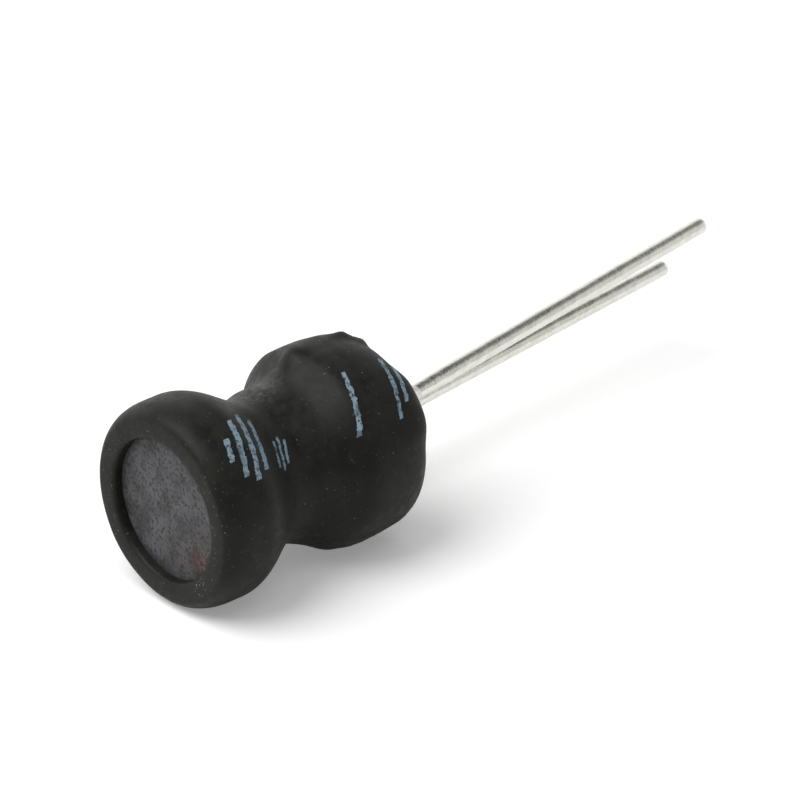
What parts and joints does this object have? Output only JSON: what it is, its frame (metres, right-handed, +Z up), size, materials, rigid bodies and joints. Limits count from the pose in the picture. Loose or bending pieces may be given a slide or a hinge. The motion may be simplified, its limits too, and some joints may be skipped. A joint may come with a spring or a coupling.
{
  "type": "drum core inductor",
  "caption": "Radial leaded drum core inductor lying on its side: wound ferrite drum in a waisted black heat shrink sleeve, with tinned wire leads.",
  "frame": {"origin": "on the surface that the part lies on, under the middle of its whole length", "axes": "+Z up, +X along the drum's axis from its bare front face towards the leads"},
  "size_m": [0.0324, 0.0088, 0.009],
  "materials": {
    "ferrite": "matte, ground and finely pitted",
    "enamelled_wire": "clear enamelled copper",
    "tinned_wire": "bright, slightly uneven hot tinning",
    "adhesive": "cured clear brown",
    "solder": "satin, slightly uneven",
    "sleeve": "matte, slightly dusty"
  },
  "bodies": {
    "root": {"ferrite_core": "ferrite", "winding": "enamelled_wire", "lead_1": "tinned_wire", "lead_2": "tinned_wire", "pin_adhesive_1": "adhesive", "pin_adhesive_2": "adhesive", "solder_joint_1": "solder", "solder_joint_2": "solder", "shrink_sleeve": "sleeve"}
  },
  "joints": []
}
